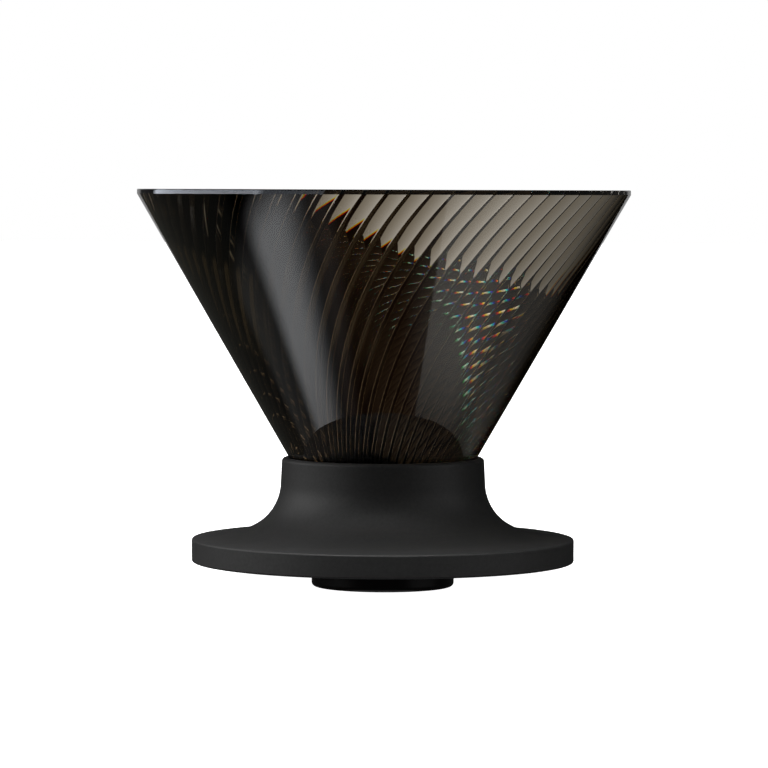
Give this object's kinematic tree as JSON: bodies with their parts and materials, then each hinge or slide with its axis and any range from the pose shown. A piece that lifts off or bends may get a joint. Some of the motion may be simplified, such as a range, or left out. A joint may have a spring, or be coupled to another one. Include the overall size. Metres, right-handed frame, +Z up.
{
  "type": "pour over dripper",
  "caption": "Conical pour over dripper: smoke-tinted clear cone with fine spiral ribs on a matte flanged base, held by a screw-on ring.",
  "frame": {"origin": "on the cone's axis, at the foot of the locking ring, which is the lowest face", "axes": "+Z up along the cone's axis, towards the rim; +X and +Y square to it"},
  "size_m": [0.116, 0.116, 0.0935],
  "materials": {
    "smoke_clear_plastic": "clear smoke tint, polished",
    "dark_silicone": "satin silicone",
    "matte_black_plastic": "fine matte texture",
    "gloss_black_plastic": "gloss"
  },
  "bodies": {
    "base": {"holder": "matte_black_plastic", "seat_ring": "dark_silicone", "ring_washer": "dark_silicone"},
    "cone": {"brew_cone": "smoke_clear_plastic"},
    "ring": {"locking_ring": "gloss_black_plastic"}
  },
  "joints": [
    {"name": "ring_turn", "type": "hinge", "parent": "base", "child": "ring", "pos_m": [0, 0, 0], "axis": [0, 0, -1], "range_deg": [0, 720]},
    {"name": "cone_lift", "type": "slide", "parent": "base", "child": "cone", "axis": [0, 0, 1], "range_m": [0, 0.006]}
  ],
  "couplings": [
    {"joint": "ring_turn", "follows": "cone_lift", "rad_per_m": 2094.4}
  ]
}
